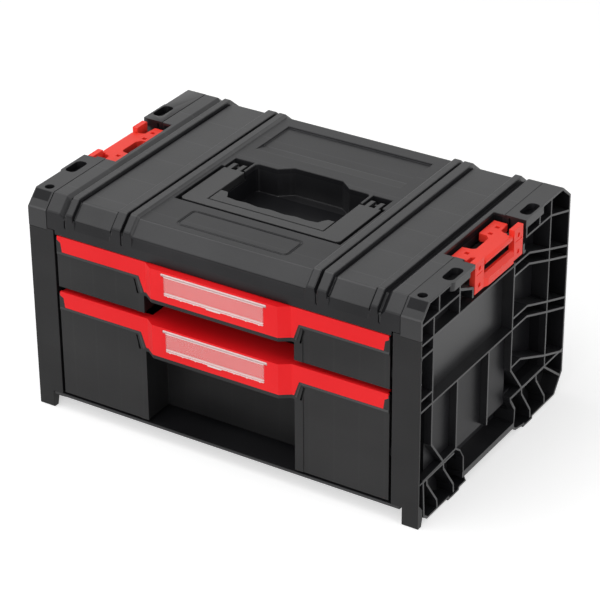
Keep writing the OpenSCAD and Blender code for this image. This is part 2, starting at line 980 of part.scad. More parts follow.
module lower_band_screws() {
    color(steel)
        band_screws(lower_top);
}

module lower_label_window() {
    color(clear)
        label_window(lower_top);
}

// -------------------------------------------------------------- handle

// Half of the handle's plan: bar, arm and wavy finger grip
module handle_plan() {
    front = handle_front;
    in = handle_half - 24.5;
    polygon([[0, front], [handle_half - 3, front], [handle_half, front + 3],
        [handle_half, 6.5], [in, 6.5], [in, -38], [in - 9, -38],
        [in - 12, -42], [in - 15, -48], [in - 27, -49.5], [in - 38, -48.5],
        [in - 52, -50.5], [0, -49]]);
}

module carry_handle() {
    in = handle_half - 24.5;
    y = handle_hinge[0];
    z = handle_hinge[1];
    color(black)
        difference() {
            union() {
                translate([0, 0, handle_z])
                    linear_extrude(handle_thickness) {
                        handle_plan();
                        mirror([1, 0])
                            handle_plan();
                    }
                // Eyes at the ends of the arms
                both()
                    for (x = [handle_half - 19, handle_half - 8]) {
                        block([x, 6, handle_z],
                            [x + 5, y, handle_top]);
                        bar_x(y, z, handle_thickness / 2, x, x + 5);
                    }
            }
            // Groove between the bar and the finger grip
            block([-in, handle_front + bar_width, handle_top - 1.6],
                [in, handle_front + bar_width + 1.4, handle_top + 1]);
            both()
                block([in - 1.4, handle_front + bar_width, handle_top - 1.6],
                    [in, -36, handle_top + 1]);
            // Hollow underside of the arms and bar
            block([-in + 6, handle_front + 2.5, handle_z - 1],
                [in - 6, -54, handle_top - 4]);
            both()
                block([in + 3, handle_front + 2.5, handle_z - 1],
                    [handle_half - 3, 4, handle_top - 3]);
            bar_x(y, z, handle_bore_r,
                -handle_half, handle_half);
        }
}

module handle_pin() {
    bar_x(handle_hinge[0], handle_hinge[1], handle_pin_d / 2,
        handle_half - 23.8, handle_half + 3.5);
}

module handle_pin_right() {
    color(steel)
        handle_pin();
}

module handle_pin_left() {
    color(steel)
        mirror([1, 0, 0])
            handle_pin();
}

// ------------------------------------------------------------- latches

// Ends of the lever, each from its front to its back
lever_ends = [[-44.8, -27], [34, 52]];

module latch_lever() {
    x0 = half_width - 6;
    difference() {
        union() {
            for (e = lever_ends)
                block([x0, e[0], tz(35)], [half_width, e[1], tz(1.8)]);
            // Protruding lip between the ends, bevelled at the top
            intersection() {
                along(-28, 35)
                    polygon([[x0 + 0.5, tz(35)], [half_width + 2, tz(35)],
                        [half_width + 2, tz(27)], [half_width - 2.5, tz(23)],
                        [x0 + 0.5, tz(23)]]);
                translate([0, 0, tz(36)])
                    linear_extrude(20)
                        polygon([[x0, -28], [half_width - 0.5, -28],
                            [half_width + 2, -21], [half_width + 2, 30],
                            [half_width - 0.5, 35], [x0, 35]]);
            }
        }
        for (e = lever_ends, z = [tz(10), tz(28)])
            block([half_width - 1.5, (e[0] + e[1]) / 2 - 2.2, z - 2.2],
                [half_width + 1, (e[0] + e[1]) / 2 + 2.2, z + 2.2]);
        // Shallow line across each end
        for (e = lever_ends)
            block([half_width - 0.5, e[0] + 2.5, tz(16)],
                [half_width + 1, e[1] - 2.5, tz(14.8)]);
        bar_y(lever_hinge[0], lever_hinge[1],
            latch_bore_r, -60, 60);
        bar_y(claw_hinge[0], claw_hinge[1],
            latch_bore_r, -60, 60);
    }
}

module latch_claw() {
    x = claw_hinge[0];
    low = claw_top - claw_thickness;
    s = half_width - 225;
    difference() {
        union() {
            translate([s, 0, low])
                linear_extrude(claw_thickness)
                    polygon([[193.5, -35.5], [210.5, -35.5], [210.5, -28],
                        [214, -26], [217.5, -26], [217.5, -24],
                        [222, -24], [222, 30.5], [217.5, 30.5],
                        [217.5, 33], [214, 33], [210, 35],
                        [208.5, 51.2], [193.5, 51.2], [193.5, 20],
                        [203, 19], [206.7, 14.2], [206.7, -9.5],
                        [203.5, -12.2], [193.5, -13.5]]);
            bar_y(x, claw_hinge[1], claw_r, -24, 30.5);
            // Hooks
            block([s + 193.5, -35.5, low - 2.4], [s + 197, -16, low + 1]);
            block([s + 193.5, 22, low - 2.4], [s + 197, 51.2, low + 1]);
        }
        for (y = [-22, 24.8, 40])
            block([s + 201.3, y - 2.2, low - 1],
                [s + 205.7, y + 2.2, claw_top + 1]);
        bar_y(x, claw_hinge[1], latch_bore_r, -30, 40);
    }
}

module latch_lever_right() {
    color(red)
        latch_lever();
}

module latch_lever_left() {
    color(red)
        mirror([1, 0, 0])
            latch_lever();
}

module latch_claw_right() {
    color(red)
        latch_claw();
}

module latch_claw_left() {
    color(red)
        mirror([1, 0, 0])
            latch_claw();
}

module lever_pin_right() {
    color(steel)
        bar_y(lever_hinge[0], lever_hinge[1], latch_pin_d / 2, -48.4,
            bracket_y + 3);
}

module lever_pin_left() {
    color(steel)
        mirror([1, 0, 0])
            bar_y(lever_hinge[0], lever_hinge[1], latch_pin_d / 2,
                -48.4, bracket_y + 3);
}

module claw_pin_right() {
    color(steel)
        bar_y(claw_hinge[0], claw_hinge[1], latch_pin_d / 2, -44.5, 51.7);
}

module claw_pin_left() {
    color(steel)
        mirror([1, 0, 0])
            bar_y(claw_hinge[0], claw_hinge[1], latch_pin_d / 2,
                -44.5, 51.7);
}

top_cover();
side_panel_left();
side_panel_right();
front_post_left();
front_post_right();
base_plate();
back_panel();
upper_runner_left();
upper_runner_right();
lower_runner_left();
lower_runner_right();
base_screws();
runner_screws();
upper_drawer_tray();
upper_drawer_band();
upper_band_screws();
lower_drawer_tray();
lower_drawer_band();
lower_band_screws();
upper_label_window();
lower_label_window();
carry_handle();
handle_pin_left();
handle_pin_right();
latch_lever_left();
latch_lever_right();
latch_claw_left();
latch_claw_right();
lever_pin_left();
lever_pin_right();
claw_pin_left();
claw_pin_right();
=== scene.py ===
# %% [markdown]
# # A portable tool box with two drawers
#
# The box is a set of black plastic mouldings with red bands, red side latches and clear label
# flaps. Its solids come from the construction model and stay where they are. This lesson gives
# them finishes: moulded edges that catch the light, a fine grain, faint sink lines over the
# ribs behind a wall, frosted clear flaps and plain steel screws. Small repeated details are
# grown with Geometry Nodes.

# %% Load the frame
import json
import math

import bmesh
import bpy
from mathutils import Matrix, Vector


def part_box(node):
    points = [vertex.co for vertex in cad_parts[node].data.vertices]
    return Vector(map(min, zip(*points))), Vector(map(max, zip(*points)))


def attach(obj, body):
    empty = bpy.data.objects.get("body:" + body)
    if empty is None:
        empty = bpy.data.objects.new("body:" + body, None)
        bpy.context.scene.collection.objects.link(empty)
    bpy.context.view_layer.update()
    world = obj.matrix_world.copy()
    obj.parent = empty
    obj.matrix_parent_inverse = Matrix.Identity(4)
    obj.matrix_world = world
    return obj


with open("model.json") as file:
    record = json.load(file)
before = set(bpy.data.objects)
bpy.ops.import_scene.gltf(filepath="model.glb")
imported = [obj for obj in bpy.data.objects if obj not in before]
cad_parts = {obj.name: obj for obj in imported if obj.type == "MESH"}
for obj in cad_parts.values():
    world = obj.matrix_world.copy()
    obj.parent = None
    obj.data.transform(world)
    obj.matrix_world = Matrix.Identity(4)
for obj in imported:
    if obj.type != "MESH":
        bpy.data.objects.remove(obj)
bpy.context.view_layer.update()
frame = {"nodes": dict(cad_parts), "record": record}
nodes = frame["nodes"]
scene = bpy.context.scene
MM = 0.001

# %% [markdown]
# ## The camera
#
# A long lens from the front right and above shows the front, the top and the right side
# together. Its place and direction are written as a position and three angles, and the three
# axes of the view are built from them, because a matrix made of plain vectors is easy to check
# by printing it.

# %% Camera
EYE = Vector((1.205698, -1.910266, 1.385151))
YAW = math.radians(32.227)
PITCH = math.radians(-29.317)
ROLL = math.radians(-0.451)
FOCAL_PX = 2545.418
IMAGE_PX = 600
SENSOR_MM = 36


def look_axes(yaw, pitch, roll):
    """The right, up and forward directions of a camera with these angles."""
    flat = math.cos(pitch)
    forward = Vector((-math.sin(yaw) * flat, math.cos(yaw) * flat, math.sin(pitch)))
    right = forward.cross(Vector((0, 0, 1))).normalized()
    up = right.cross(forward)
    turned_right = math.cos(roll) * right + math.sin(roll) * up
    turned_up = math.cos(roll) * up - math.sin(roll) * right
    return turned_right, turned_up, forward


right, up, forward = look_axes(YAW, PITCH, ROLL)
camera = bpy.data.objects.new("camera", bpy.data.cameras.new("camera"))
scene.collection.objects.link(camera)
camera.matrix_world = Matrix.Translation(EYE) @ Matrix((right, up, -forward)).transposed().to_4x4()
camera.data.sensor_width = SENSOR_MM
camera.data.lens = FOCAL_PX / IMAGE_PX * SENSOR_MM
camera.data.clip_end = 50
scene.camera = camera
print("lens:", round(camera.data.lens, 2), "forward:", [round(v, 3) for v in forward])

# %% [markdown]
# ## Studio light
#
# Black plastic is seen mostly by what it reflects, so the surroundings matter more than the
# lamps. The world is plain white to the eye and in reflections, and dimmer as a light, so that
# nothing washes out. One wide lamp above gives the lid its soft sheen and the box its soft
# shadow. Two weaker ones fill the front and the right side, and a small one behind lights the
# rear edges.

# %% World and lamps
scene.view_settings.view_transform = "Standard"
AMBIENT = 0.36
world = bpy.data.worlds.new("studio")
scene.world = world
world.use_nodes = True


def node(tree, kind, **inputs):
    """A new node of this kind with some of its inputs set by name."""
    made = tree.nodes.new(kind)
    for name, value in inputs.items():
        made.inputs[name.replace("_", " ")].default_value = value
    return made


def seen_directly(tree):
    """1 for rays from the camera, from a mirror or through glass, else 0."""
    path = tree.nodes.new("ShaderNodeLightPath")
    total = path.outputs["Is Camera Ray"]
    for name in ("Is Glossy Ray", "Is Transmission Ray"):
        both = tree.nodes.new("ShaderNodeMath")
        both.operation = "MAXIMUM"
        tree.links.new(total, both.inputs[0])
        tree.links.new(path.outputs[name], both.inputs[1])
        total = both.outputs[0]
    return total


sky = world.node_tree.nodes["Background"]
sky.inputs["Color"].default_value = (1, 1, 1, 1)
level = node(world.node_tree, "ShaderNodeMapRange", To_Min=AMBIENT, To_Max=1)
world.node_tree.links.new(seen_directly(world.node_tree), level.inputs["Value"])
world.node_tree.links.new(level.outputs[0], sky.inputs["Strength"])


def softbox(name, place, target, size, power):
    """A square lamp at place, turned towards target."""
    lamp = bpy.data.lights.new(name, "AREA")
    lamp.size = size
    lamp.energy = power
    made = bpy.data.objects.new(name, lamp)
    made.location = place
    made.rotation_euler = (Vector(target) - Vector(place)).to_track_quat("-Z", "Y").to_euler()
    scene.collection.objects.link(made)
    print("lamp", name, "size", size, "power", power)


softbox("overhead", (-0.9, -0.7, 1.9), (0, 0, 0.1), 2.4, 28)
softbox("front_fill", (0.3, -2.2, 0.9), (0, -0.1, 0.1), 1.6, 16)
softbox("side_fill", (2.1, -0.3, 0.9), (0.2, 0, 0.1), 1.4, 12)
softbox("rim", (1.5, 2.0, 1.1), (0.1, 0, 0.2), 1.2, 4)

# %% [markdown]
# ## The floor
#
# The floor is pale and has no visible end. To the eye it glows a little, so that it reads as
# white, and the shadow under the box stays because the glow is the same everywhere and the
# shadow takes away only what the lamps give.

# %% Floor
PAPER_GREY = 0.68
GLOW = 0.54
bpy.ops.mesh.primitive_plane_add(size=30)
floor = bpy.context.object
floor.name = "floor"
paper = bpy.data.materials.new("floor_paper")
paper.use_nodes = True
tree = paper.node_tree
tree.nodes.clear()
matt = node(tree, "ShaderNodeBsdfDiffuse", Color=(PAPER_GREY, PAPER_GREY, PAPER_GREY, 1))
glow = node(tree, "ShaderNodeEmission", Color=(1, 1, 1, 1))
strength = node(tree, "ShaderNodeMapRange", To_Min=0, To_Max=GLOW)
total = tree.nodes.new("ShaderNodeAddShader")
out = tree.nodes.new("ShaderNodeOutputMaterial")
tree.links.new(seen_directly(tree), strength.inputs["Value"])
tree.links.new(strength.outputs[0], glow.inputs["Strength"])
tree.links.new(matt.outputs[0], total.inputs[0])
tree.links.new(glow.outputs[0], total.inputs[1])
tree.links.new(total.outputs[0], out.inputs["Surface"])
floor.data.materials.append(paper)

# %% [markdown]
# ## Shared effects
#
# The plastic pieces share four effects, so each is a node group that is built once: the grain
# of the mould, the slow drift of tone on a handled surface, the sink lines over ribs, and a
# test for places inside a box. All of them read Object coordinates, in metres, so the grain has
# the same size on a latch as on the lid. The helpers below make a group with its inputs and
# outputs, add a Math node on sockets or plain numbers, and put a group into a material.

# %% Group helpers


def new_group(name, inputs, outputs):
    """A shader node group with inputs (name, value), a tuple being a vector, and float outputs."""
    group = bpy.data.node_groups.new(name, "ShaderNodeTree")
    group.interface.new_socket("Vector", in_out="INPUT", socket_type="NodeSocketVector")
    for title, value in inputs:
        kind = "NodeSocketVector" if isinstance(value, tuple) else "NodeSocketFloat"
        socket = group.interface.new_socket(title, in_out="INPUT", socket_type=kind)
        socket.default_value = value
    for title in outputs:
        group.interface.new_socket(title, in_out="OUTPUT", socket_type="NodeSocketFloat")
    return group, group.nodes.new("NodeGroupInput"), group.nodes.new("NodeGroupOutput")


def math_node(tree, operation, a, b=0.0, clamp=False):
    """A Math node on sockets or plain numbers; returns its output."""
    made = tree.nodes.new("ShaderNodeMath")
    made.operation = operation
    made.use_clamp = clamp
    for socket, value in zip(made.inputs, (a, b)):
        if isinstance(value, (int, float)):
            socket.default_value = value
        else:
            tree.links.new(value, socket)
    return made.outputs[0]


def vector_node(tree, operation, a, b):
    """A Vector Math node on two sockets; returns its output."""
    made = tree.nodes.new("ShaderNodeVectorMath")
    made.operation = operation
    tree.links.new(a, made.inputs[0])
    tree.links.new(b, made.inputs[1])
    return made.outputs[0]


def use_group(tree, group, place, **inputs):
    """The group's node in this tree, fed with the place and with its other inputs set by name."""
    made = tree.nodes.new("ShaderNodeGroup")
    made.node_tree = group
    tree.links.new(place, made.inputs["Vector"])
    for name, value in inputs.items():
        made.inputs[name.replace("_", " ")].default_value = value
    return made.outputs[0]


# %% [markdown]
# ## Moulded grain
#
# The steel of a mould is textured, and the plastic copies it. Two noises are added together, a
# fine one and a coarser, weaker one, because one noise alone looks like printed sand. Their
# sizes are inputs in metres, and a division turns each size into the scale that the Noise node
# wants.

# %% Moulded grain
group, given, result = new_group(
    "moulded_grain", [("Fine Size", 0.0006), ("Coarse Size", 0.0022), ("Coarse", 0.3)], ["Height"])
layers = []
for title in ("Fine Size", "Coarse Size"):
    noise = node(group, "ShaderNodeTexNoise", Detail=3.0)
    group.links.new(given.outputs["Vector"], noise.inputs["Vector"])
    group.links.new(math_node(group, "DIVIDE", 1.0, given.outputs[title]), noise.inputs["Scale"])
    layers.append(noise.outputs["Fac"])
coarse = math_node(group, "MULTIPLY", layers[1], given.outputs["Coarse"])
group.links.new(math_node(group, "ADD", layers[0], coarse), result.inputs["Height"])
moulded_grain = group

# %% [markdown]
# ## Handled surface
#
# A big plastic surface is never one tone, because hands and shelves rub it. A slow noise gives
# the drift, and a stretched one adds smears that run one way. The result later drives the
# colour and the roughness together.

# %% Handled surface
group, given, result = new_group("handled", [("Size", 0.12), ("Smear", 0.5)], ["Tone"])
slow = node(group, "ShaderNodeTexNoise", Detail=2.0)
streak = node(group, "ShaderNodeTexNoise", Detail=4.0, Distortion=0.6)
stretch = node(group, "ShaderNodeMapping", Scale=(0.35, 2.2, 1.0))
group.links.new(given.outputs["Vector"], slow.inputs["Vector"])
group.links.new(given.outputs["Vector"], stretch.inputs["Vector"])
group.links.new(stretch.outputs[0], streak.inputs["Vector"])
per_metre = math_node(group, "DIVIDE", 1.0, given.outputs["Size"])
group.links.new(per_metre, slow.inputs["Scale"])
group.links.new(math_node(group, "MULTIPLY", per_metre, 2.0), streak.inputs["Scale"])
smear = math_node(group, "MULTIPLY", streak.outputs["Fac"], given.outputs["Smear"])
group.links.new(math_node(group, "ADD", slow.outputs["Fac"], smear), result.inputs["Tone"])
handled = group

# %% [markdown]
# ## Sink lines
#
# Where a rib crosses the back of a wall, the face sinks a little as it cools. The group
# measures the distance to the nearest of many parallel lines: the position along an axis is
# divided by the pitch, its fraction is folded round one half, and the line fades over its
# width.

# %% Sink lines
group, given, result = new_group(
    "sink_lines",
    [("Axis", (0.0, 1.0, 0.0)), ("Pitch", 0.05), ("Phase", 0.0), ("Width", 0.0015)], ["Line"])
along = group.nodes.new("ShaderNodeVectorMath")
along.operation = "DOT_PRODUCT"
group.links.new(given.outputs["Vector"], along.inputs[0])
group.links.new(given.outputs["Axis"], along.inputs[1])
shifted = math_node(group, "SUBTRACT", along.outputs["Value"], given.outputs["Phase"])
part = math_node(group, "FRACT", math_node(group, "DIVIDE", shifted, given.outputs["Pitch"]))
middle = math_node(group, "ABSOLUTE", math_node(group, "SUBTRACT", part, 0.5))
distance = math_node(group, "MULTIPLY", middle, given.outputs["Pitch"])
near = math_node(group, "DIVIDE", distance, given.outputs["Width"], clamp=True)
group.links.new(math_node(group, "SUBTRACT", 1.0, near), result.inputs["Line"])
sink_lines = group

# %% [markdown]
# ## Inside a box
#
# The group gives 1 inside a box and 0 outside. It takes the room that is left to each face of
# the box and asks whether the least of them is positive. It uses the absolute X, so that the
# left and the right side share one box.

# %% Inside a box
group, given, result = new_group(
    "inside_box", [("Low", (0.0, 0.0, 0.0)), ("High", (1.0, 1.0, 1.0))], ["Inside"])
split = group.nodes.new("ShaderNodeSeparateXYZ")
join = group.nodes.new("ShaderNodeCombineXYZ")
group.links.new(given.outputs["Vector"], split.inputs[0])
group.links.new(math_node(group, "ABSOLUTE", split.outputs["X"]), join.inputs["X"])
group.links.new(split.outputs["Y"], join.inputs["Y"])
group.links.new(split.outputs["Z"], join.inputs["Z"])
above = vector_node(group, "SUBTRACT", join.outputs[0], given.outputs["Low"])
below = vector_node(group, "SUBTRACT", given.outputs["High"], join.outputs[0])
room = group.nodes.new("ShaderNodeSeparateXYZ")
group.links.new(vector_node(group, "MINIMUM", above, below), room.inputs[0])
least = math_node(group, "MINIMUM", room.outputs["X"], room.outputs["Y"])
least = math_node(group, "MINIMUM", least, room.outputs["Z"])
group.links.new(math_node(group, "GREATER_THAN", least, 0.0), result.inputs["Inside"])
inside_box = group
print("groups:", [g.name for g in (moulded_grain, handled, sink_lines, inside_box)])

# %% [markdown]
# ## Plastic finishes
#
# The black and the red pieces are the same plastic with other pigments. Tone goes into the
# colour and the roughness together, as it does on a real moulding, where a rubbed patch is both
# smoother and a little darker. The grain only bends the normal, by a few hundredths of a
# millimetre. The lid and the drawer fronts also get sink lines at the pitch of their ribs, and
# boxes paint shade into hollow places and onto front faces by taking sheen away, or paint a
# highlight by adding sheen.

# %% Plastic
SHEEN, SHEEN_BY_TONE, SHEEN_BY_GRAIN = 0.62, 0.28, 0.37
SMOOTHER, ROUGHER = 0.05, 0.06
TONE_SIZE = 0.12
# The Mix node's sockets for colours have the same names as its others, so they go by number.
COLOUR_A, COLOUR_B, COLOUR_OUT = 6, 7, 2


def plastic(name, colour, light, rough, grain=0.00004, specular=0.5, lines=None, painted_light_boxes=()):
    """A moulded plastic: its colour drifts between colour and light, its roughness round rough.

    lines is (axis, pitch, phase, depth, dimming) of sink lines, and painted_light_boxes lists
    boxes (low, high, share) that take this share of the sheen away as painted shade, or add it
    as a painted highlight where the share is negative.
    """
    material = bpy.data.materials.new(name)
    material.use_nodes = True
    tree = material.node_tree
    skin = tree.nodes["Principled BSDF"]
    skin.inputs["Specular IOR Level"].default_value = specular
    place = tree.nodes.new("ShaderNodeTexCoord").outputs["Object"]
    ramp = node(tree, "ShaderNodeMapRange", From_Min=0.5, From_Max=1.0)
    tree.links.new(use_group(tree, handled, place, Size=TONE_SIZE), ramp.inputs["Value"])
    tone = ramp.outputs[0]
    height = use_group(tree, moulded_grain, place)
    sheen = math_node(tree, "ADD", SHEEN, math_node(tree, "MULTIPLY", tone, SHEEN_BY_TONE))
    sheen = math_node(tree, "ADD", sheen, math_node(tree, "MULTIPLY", height, SHEEN_BY_GRAIN))
    if lines:
        axis, pitch, phase, depth, dimming = lines
        line = use_group(tree, sink_lines, place, Axis=axis, Pitch=pitch, Phase=phase)
        sheen = math_node(tree, "SUBTRACT", sheen, math_node(tree, "MULTIPLY", line, dimming))
        sunk = math_node(tree, "MULTIPLY", line, depth / grain)
        height = math_node(tree, "SUBTRACT", height, sunk)
    mix = tree.nodes.new("ShaderNodeMix")
    mix.data_type = "RGBA"
    mix.inputs[COLOUR_A].default_value = (*colour, 1)
    mix.inputs[COLOUR_B].default_value = (*light, 1)
    tree.links.new(tone, mix.inputs[0])
    tree.links.new(mix.outputs[COLOUR_OUT], skin.inputs["Base Color"])
    gloss = node(tree, "ShaderNodeMapRange", To_Min=rough - SMOOTHER, To_Max=rough + ROUGHER)
    tree.links.new(tone, gloss.inputs["Value"])
    tree.links.new(gloss.outputs[0], skin.inputs["Roughness"])
    bump = node(tree, "ShaderNodeBump", Distance=grain, Strength=1.0)
    tree.links.new(height, bump.inputs["Height"])
    tree.links.new(bump.outputs["Normal"], skin.inputs["Normal"])
    # Painted shade: inside each box the sheen drops by its share, and a negative share paints a
    # highlight.
    for low, high, share in painted_light_boxes:
        inside = use_group(tree, inside_box, place, Low=low, High=high)
        kept = math_node(tree, "SUBTRACT", 1.0, math_node(tree, "MULTIPLY", inside, share))
        sheen = math_node(tree, "MULTIPLY", sheen, kept)
    tree.links.new(math_node(tree, "MULTIPLY", sheen, specular), skin.inputs["Specular IOR Level"])
    return material


# %% [markdown]
# ## Painted shade and highlight boxes
#
# Walls at the bottom of a cell or a recess, and some front faces, get painted shade: inside
# these boxes the sheen is turned down to stand in for the shade that falls there. The boxes
# follow these places: the web cells of the side panels, the grooves, field and apron of the lid,
# the tray under the handle and the finger recess. Creases that catch the light are boxes too,
# with a negative share, which paints a highlight.

# %% Painted shade boxes
# Each box is (low corner, high corner, share), in metres. X counts from the middle to both
# sides, so one box serves the left and the right. A positive share paints shade, a negative one
# paints a highlight.
CELLS = [
    ((0.19, -0.13, 0.03), (0.2174, 0.125, 0.131), 0.6),
    ((0.19, 0.03, 0.03), (0.2074, 0.16, 0.236), 0.8),
    ((0.205, -0.14, 0.23), (0.224, -0.06, 0.2432), 0.7),
    ((0.205, 0.065, 0.23), (0.224, 0.095, 0.2432), 0.7),
]
GROOVES = ((0.1, -0.1305, 0.235), (0.2, 0.136, 0.2409), 0.9)
FIELD = ((-1, -0.1315, 0.2365), (0.0995, 0.14, 0.2427), 0.36)
BEVEL = ((-1, -0.1456, 0.225), (1, -0.1322, 0.2437), 0.3)
APRON = ((-1, -0.16, 0.2), (1, -0.1455, 0.2385), 0.55)
RAMP = ((-1, 0.0545, 0.2395), (0.0872, 0.0712, 0.2419), 0.46)
CREASE = ((-1, 0.0712, 0.2395), (0.0862, 0.0724, 0.2419), -0.45)
BADGE_FRONT = ((-1, -0.1227, 0.2405), (0.0645, -0.1203, 0.2419), -0.5)
TRAY = ((-1, -0.056, 0.2), (0.068, 0.028, 0.2365), 0.8)
TRAY_WALL = ((-1, -0.056, 0.2125), (0.068, 0.028, 0.2365), 0.5)
RECESS = ((-1, -0.1462, 0.0), (0.0858, -0.105, 0.21), 0.55)
LID_BOXES = [APRON, TRAY, TRAY_WALL, GROOVES, FIELD, BEVEL, RAMP, CREASE, BADGE_FRONT]
LID_LINES = ((0.0, 1.0, 0.0), 0.05, 0.012, 0.00003, -0.22)
DRAWER_LINES = ((1.0, 0.0, 0.0), 0.028, 0.005, 0.00001, -0.12)
print("set-back boxes:", len(CELLS) + len(LID_BOXES) + 1)

# %% [markdown]
# ## The plastics
#
# One table keeps all finishes side by side, so it is easy to see how little the blacks differ.
# The posts, the drawers and the channels are duller than the lid, and the reds have a finer
# grain.

# %% The plastics
# Each row gives the two colours, the roughness and what else differs from a plain moulding.
PLASTICS = {
    "black_body": ((0.006, 0.006, 0.0068), (0.011, 0.011, 0.0125), 0.36,
                   {"specular": 0.47, "painted_light_boxes": CELLS + [BEVEL]}),
    "black_post": ((0.005, 0.005, 0.0055), (0.009, 0.009, 0.0095), 0.42, {"specular": 0.25}),
    "black_lid": ((0.006, 0.006, 0.007), (0.012, 0.012, 0.0135), 0.36,
                  {"lines": LID_LINES, "painted_light_boxes": LID_BOXES}),
    "black_handle": ((0.007, 0.007, 0.0075), (0.013, 0.013, 0.014), 0.38, {}),
    "black_drawer": ((0.007, 0.007, 0.0075), (0.012, 0.012, 0.0125), 0.42,
                     {"specular": 0.27, "lines": DRAWER_LINES, "painted_light_boxes": [RECESS]}),
    "black_edge": ((0.012, 0.012, 0.0125), (0.018, 0.018, 0.019), 0.4, {}),
    "black_inner": ((0.005, 0.005, 0.0055), (0.008, 0.008, 0.009), 0.5, {"specular": 0.25}),
    "black_pin": ((0.006, 0.006, 0.0065), (0.01, 0.01, 0.011), 0.35, {"specular": 0.4}),
    "red_band": ((0.82, 0.008, 0.012), (0.88, 0.013, 0.017), 0.40,
                 {"grain": 0.00002, "specular": 0.22}),
    "red_latch": ((0.90, 0.042, 0.026), (0.95, 0.055, 0.036), 0.42,
                  {"grain": 0.00002, "specular": 0.25}),
}
finishes = {}
for name, (colour, light, rough, more) in PLASTICS.items():
    finishes[name] = plastic(name, colour, light, rough, **more)
print("plastics:", sorted(finishes))

# %% [markdown]
# ## Steel screws
#
# The screws are plain turned steel with a fine pattern of rings, made from a noise that is
# squeezed along two axes. The hinge pins look like the plastic around them, black in the handle
# and the levers and red in the claws, and the front posts have a black of their own.

# %% Steel
steel = bpy.data.materials.new("steel")
steel.use_nodes = True
tree = steel.node_tree
skin = tree.nodes["Principled BSDF"]
skin.inputs["Base Color"].default_value = (0.55, 0.56, 0.58, 1)
skin.inputs["Metallic"].default_value = 1
rings = node(tree, "ShaderNodeTexNoise", Scale=900.0, Detail=2.0)
squeeze = node(tree, "ShaderNodeMapping", Scale=(0.05, 1.0, 0.05))
tree.links.new(tree.nodes.new("ShaderNodeTexCoord").outputs["Object"], squeeze.inputs["Vector"])
tree.links.new(squeeze.outputs[0], rings.inputs["Vector"])
dull = node(tree, "ShaderNodeMapRange", To_Min=0.25, To_Max=0.42)
tree.links.new(rings.outputs["Fac"], dull.inputs["Value"])
tree.links.new(dull.outputs[0], skin.inputs["Roughness"])
finishes["steel"] = steel
for side in ("left", "right"):
    finishes["handle_pin_" + side] = finishes["lever_pin_" + side] = finishes["black_pin"]
    finishes["claw_pin_" + side] = finishes["red_latch"]
    finishes["front_post_" + side] = finishes["black_post"]

# %% [markdown]
# ## Clear flaps
#
# The label flaps are a clear plastic that has been frosted by its mould. Most of the red band
# behind shows through. The thick rail and the edges look whiter, because there the light passes
# through more plastic, so a mask built from the flap's own corners raises the alpha there.

# %% Clear flap
LOWER_RIM = 1.7 * MM
END_RIM = 2.2 * MM
LINE = 0.5 * MM
ABOVE_FOOT = 3.6 * MM
BELOW_TOP = (3.1 * MM, 0.5 * MM)
THICK_ALPHA = 0.62


def clear_flap(name, low, high):
    """Frosted clear plastic of a flap between two corners, whiter on its rail and its rim."""
    material = bpy.data.materials.new(name)
    material.use_nodes = True
    tree = material.node_tree
    skin = tree.nodes["Principled BSDF"]
    skin.inputs["Base Color"].default_value = (0.95, 0.84, 0.83, 1)
    skin.inputs["Specular IOR Level"].default_value = 0.5
    place = tree.nodes.new("ShaderNodeTexCoord").outputs["Object"]
    split = tree.nodes.new("ShaderNodeSeparateXYZ")
    tree.links.new(place, split.inputs[0])
    across, level = math_node(tree, "ABSOLUTE", split.outputs["X"]), split.outputs["Z"]
    thick = math_node(tree, "LESS_THAN", level, low.z + LOWER_RIM)
    for height in (low.z + ABOVE_FOOT, high.z - BELOW_TOP[0], high.z - BELOW_TOP[1]):
        away = math_node(tree, "ABSOLUTE", math_node(tree, "SUBTRACT", level, height))
        thick = math_node(tree, "MAXIMUM", thick, math_node(tree, "LESS_THAN", away, LINE))
    ends = math_node(tree, "GREATER_THAN", across, high.x - END_RIM)
    thick = math_node(tree, "MAXIMUM", thick, ends)
    frost = node(tree, "ShaderNodeTexNoise", Scale=500.0, Detail=2.0)
    tree.links.new(place, frost.inputs["Vector"])
    thin = node(tree, "ShaderNodeMapRange", To_Min=0.13, To_Max=0.2)
    tree.links.new(frost.outputs["Fac"], thin.inputs["Value"])
    more = math_node(tree, "MULTIPLY", thick, THICK_ALPHA)
    tree.links.new(math_node(tree, "ADD", thin.outputs[0], more, clamp=True), skin.inputs["Alpha"])
    dull = node(tree, "ShaderNodeMapRange", To_Min=0.22, To_Max=0.36)
    tree.links.new(frost.outputs["Fac"], dull.inputs["Value"])
    tree.links.new(dull.outputs[0], skin.inputs["Roughness"])
    return material


for level_name in ("upper", "lower"):
    low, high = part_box(level_name + "_label_window")
    finishes[level_name + "_label_window"] = clear_flap(level_name + "_clear_flap", low, high)

# %% [markdown]
# ## Dressing the solids
#
# Each solid of the construction model takes the finish that the record names for it. Moulded
# plastic never has a knife edge, so the solids also get modifiers: Weld joins the loose
# triangles, a planar Decimate merges each flat face into one, and Bevel then rounds only the
# real edges. The back panel skips the Decimate, because merging its framed face leaves a dark
# triangle.

# %% Finishes and edges
slots = {part["node"]: part["material_slot"] for part in frame["record"]["subparts"]}
# Width of the rounding for each slot, in millimetres
EDGE = {"black_body": 0.45, "black_lid": 0.7, "black_handle": 0.6, "black_drawer": 0.45,
        "red_band": 0.9, "red_latch": 0.35}
# Words in the names of pieces whose edges lie close together
CROWDED = ("side_panel", "back_panel", "drawer", "lever")
SAME_POINT = 2e-6
FLAT_ANGLE = math.radians(0.5)
SHARP_ANGLE = math.radians(35)


